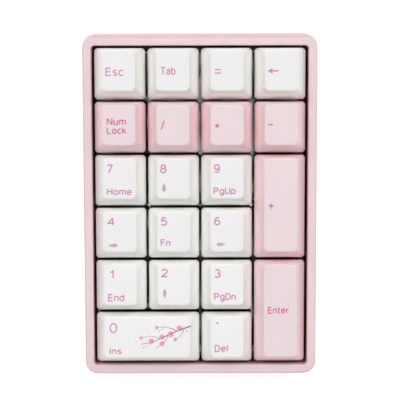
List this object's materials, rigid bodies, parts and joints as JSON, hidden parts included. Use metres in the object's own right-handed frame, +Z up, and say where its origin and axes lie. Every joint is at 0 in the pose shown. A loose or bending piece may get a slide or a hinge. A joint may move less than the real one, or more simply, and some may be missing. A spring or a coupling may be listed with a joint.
{
  "type": "numeric keypad",
  "caption": "Wedge-shaped desktop numeric keypad: sculpted sprung keys on a steel plate inside a raised-rim plastic case, with a rear cable socket.",
  "frame": {"origin": "on the desk, under the centre of the case's outline", "axes": "+Z up, +Y to the rear, away from the user, +X to the user's right; the keys slope 6 degrees down towards the user"},
  "size_m": [0.0834, 0.1226, 0.0392],
  "materials": {
    "case_top": "fine satin, pale pink",
    "case_base": "fine satin, pale pink",
    "plate": "dark grey satin coat",
    "screws": "bright",
    "feet": "dull black",
    "board": "white solder mask",
    "components": "moulded black",
    "socket": "satin",
    "housing_lower": "moulded black nylon",
    "housing_upper": "moulded black nylon",
    "spring": "bright drawn wire",
    "cap_white": "fine-grained, white",
    "cap_pink": "fine-grained, pale pink",
    "stem": "smooth brown acetal",
    "slider": "smooth off-white acetal",
    "wire": "bright drawn wire"
  },
  "bodies": {
    "base": {"top_case": "case_top", "bottom_case": "case_base", "switch_plate": "plate", "plate_screws": "screws", "rubber_feet": "feet", "circuit_board": "board", "board_components": "components", "cable_socket": "socket", "switch_lower_housings": "housing_lower", "switch_upper_housings": "housing_upper", "switch_springs": "spring", "stabilizer_housings": "housing_lower"},
    "key_escape": {"keycap_escape": "cap_white", "stem_escape": "stem"},
    "key_tab": {"keycap_tab": "cap_white", "stem_tab": "stem"},
    "key_equals": {"keycap_equals": "cap_white", "stem_equals": "stem"},
    "key_backspace": {"keycap_backspace": "cap_white", "stem_backspace": "stem"},
    "key_num_lock": {"keycap_num_lock": "cap_pink", "stem_num_lock": "stem"},
    "key_divide": {"keycap_divide": "cap_pink", "stem_divide": "stem"},
    "key_multiply": {"keycap_multiply": "cap_pink", "stem_multiply": "stem"},
    "key_minus": {"keycap_minus": "cap_pink", "stem_minus": "stem"},
    "key_seven": {"keycap_seven": "cap_white", "stem_seven": "stem"},
    "key_eight": {"keycap_eight": "cap_white", "stem_eight": "stem"},
    "key_nine": {"keycap_nine": "cap_white", "stem_nine": "stem"},
    "key_plus": {"keycap_plus": "cap_pink", "stem_plus": "stem", "stabilizer_sliders_plus": "slider"},
    "key_four": {"keycap_four": "cap_white", "stem_four": "stem"},
    "key_five": {"keycap_five": "cap_white", "stem_five": "stem"},
    "key_six": {"keycap_six": "cap_white", "stem_six": "stem"},
    "key_one": {"keycap_one": "cap_white", "stem_one": "stem"},
    "key_two": {"keycap_two": "cap_white", "stem_two": "stem"},
    "key_three": {"keycap_three": "cap_white", "stem_three": "stem"},
    "key_enter": {"keycap_enter": "cap_pink", "stem_enter": "stem", "stabilizer_sliders_enter": "slider"},
    "key_zero": {"keycap_zero": "cap_white", "stem_zero": "stem", "stabilizer_sliders_zero": "slider"},
    "key_decimal": {"keycap_decimal": "cap_white", "stem_decimal": "stem"},
    "wire_plus": {"stabilizer_wire_plus": "wire"},
    "wire_enter": {"stabilizer_wire_enter": "wire"},
    "wire_zero": {"stabilizer_wire_zero": "wire"}
  },
  "joints": [
    {"name": "press_escape", "type": "slide", "parent": "base", "child": "key_escape", "axis": [0, 0.1045, -0.9945], "range_m": [0, 0.004], "stiffness_N_per_m": 75, "springref_m": -0.004, "deforming": ["switch_springs"]},
    {"name": "press_tab", "type": "slide", "parent": "base", "child": "key_tab", "axis": [0, 0.1045, -0.9945], "range_m": [0, 0.004], "stiffness_N_per_m": 75, "springref_m": -0.004, "deforming": ["switch_springs"]},
    {"name": "press_equals", "type": "slide", "parent": "base", "child": "key_equals", "axis": [0, 0.1045, -0.9945], "range_m": [0, 0.004], "stiffness_N_per_m": 75, "springref_m": -0.004, "deforming": ["switch_springs"]},
    {"name": "press_backspace", "type": "slide", "parent": "base", "child": "key_backspace", "axis": [0, 0.1045, -0.9945], "range_m": [0, 0.004], "stiffness_N_per_m": 75, "springref_m": -0.004, "deforming": ["switch_springs"]},
    {"name": "press_num_lock", "type": "slide", "parent": "base", "child": "key_num_lock", "axis": [0, 0.1045, -0.9945], "range_m": [0, 0.004], "stiffness_N_per_m": 75, "springref_m": -0.004, "deforming": ["switch_springs"]},
    {"name": "press_divide", "type": "slide", "parent": "base", "child": "key_divide", "axis": [0, 0.1045, -0.9945], "range_m": [0, 0.004], "stiffness_N_per_m": 75, "springref_m": -0.004, "deforming": ["switch_springs"]},
    {"name": "press_multiply", "type": "slide", "parent": "base", "child": "key_multiply", "axis": [0, 0.1045, -0.9945], "range_m": [0, 0.004], "stiffness_N_per_m": 75, "springref_m": -0.004, "deforming": ["switch_springs"]},
    {"name": "press_minus", "type": "slide", "parent": "base", "child": "key_minus", "axis": [0, 0.1045, -0.9945], "range_m": [0, 0.004], "stiffness_N_per_m": 75, "springref_m": -0.004, "deforming": ["switch_springs"]},
    {"name": "press_seven", "type": "slide", "parent": "base", "child": "key_seven", "axis": [0, 0.1045, -0.9945], "range_m": [0, 0.004], "stiffness_N_per_m": 75, "springref_m": -0.004, "deforming": ["switch_springs"]},
    {"name": "press_eight", "type": "slide", "parent": "base", "child": "key_eight", "axis": [0, 0.1045, -0.9945], "range_m": [0, 0.004], "stiffness_N_per_m": 75, "springref_m": -0.004, "deforming": ["switch_springs"]},
    {"name": "press_nine", "type": "slide", "parent": "base", "child": "key_nine", "axis": [0, 0.1045, -0.9945], "range_m": [0, 0.004], "stiffness_N_per_m": 75, "springref_m": -0.004, "deforming": ["switch_springs"]},
    {"name": "press_plus", "type": "slide", "parent": "base", "child": "key_plus", "axis": [0, 0.1045, -0.9945], "range_m": [0, 0.004], "stiffness_N_per_m": 75, "springref_m": -0.004, "deforming": ["switch_springs"]},
    {"name": "press_four", "type": "slide", "parent": "base", "child": "key_four", "axis": [0, 0.1045, -0.9945], "range_m": [0, 0.004], "stiffness_N_per_m": 75, "springref_m": -0.004, "deforming": ["switch_springs"]},
    {"name": "press_five", "type": "slide", "parent": "base", "child": "key_five", "axis": [0, 0.1045, -0.9945], "range_m": [0, 0.004], "stiffness_N_per_m": 75, "springref_m": -0.004, "deforming": ["switch_springs"]},
    {"name": "press_six", "type": "slide", "parent": "base", "child": "key_six", "axis": [0, 0.1045, -0.9945], "range_m": [0, 0.004], "stiffness_N_per_m": 75, "springref_m": -0.004, "deforming": ["switch_springs"]},
    {"name": "press_one", "type": "slide", "parent": "base", "child": "key_one", "axis": [0, 0.1045, -0.9945], "range_m": [0, 0.004], "stiffness_N_per_m": 75, "springref_m": -0.004, "deforming": ["switch_springs"]},
    {"name": "press_two", "type": "slide", "parent": "base", "child": "key_two", "axis": [0, 0.1045, -0.9945], "range_m": [0, 0.004], "stiffness_N_per_m": 75, "springref_m": -0.004, "deforming": ["switch_springs"]},
    {"name": "press_three", "type": "slide", "parent": "base", "child": "key_three", "axis": [0, 0.1045, -0.9945], "range_m": [0, 0.004], "stiffness_N_per_m": 75, "springref_m": -0.004, "deforming": ["switch_springs"]},
    {"name": "press_enter", "type": "slide", "parent": "base", "child": "key_enter", "axis": [0, 0.1045, -0.9945], "range_m": [0, 0.004], "stiffness_N_per_m": 75, "springref_m": -0.004, "deforming": ["switch_springs"]},
    {"name": "press_zero", "type": "slide", "parent": "base", "child": "key_zero", "axis": [0, 0.1045, -0.9945], "range_m": [0, 0.004], "stiffness_N_per_m": 75, "springref_m": -0.004, "deforming": ["switch_springs"]},
    {"name": "press_decimal", "type": "slide", "parent": "base", "child": "key_decimal", "axis": [0, 0.1045, -0.9945], "range_m": [0, 0.004], "stiffness_N_per_m": 75, "springref_m": -0.004, "deforming": ["switch_springs"]},
    {"name": "turn_wire_plus", "type": "hinge", "parent": "base", "child": "wire_plus", "pos_m": [0.03658, 0.00053, 0.01482], "axis": [0, -0.9945, -0.1045], "range_deg": [0, 26.65]},
    {"name": "turn_wire_enter", "type": "hinge", "parent": "base", "child": "wire_enter", "pos_m": [0.03658, -0.03736, 0.01083], "axis": [0, -0.9945, -0.1045], "range_deg": [0, 26.65]},
    {"name": "turn_wire_zero", "type": "hinge", "parent": "base", "child": "wire_zero", "pos_m": [-0.01905, -0.05479, 0.009], "axis": [-1, 0, 0], "range_deg": [0, 26.65]}
  ],
  "couplings": [
    {"joint": "turn_wire_plus", "follows": "press_plus", "rad_per_m": 115.62},
    {"joint": "turn_wire_enter", "follows": "press_enter", "rad_per_m": 115.62},
    {"joint": "turn_wire_zero", "follows": "press_zero", "rad_per_m": 115.62}
  ]
}
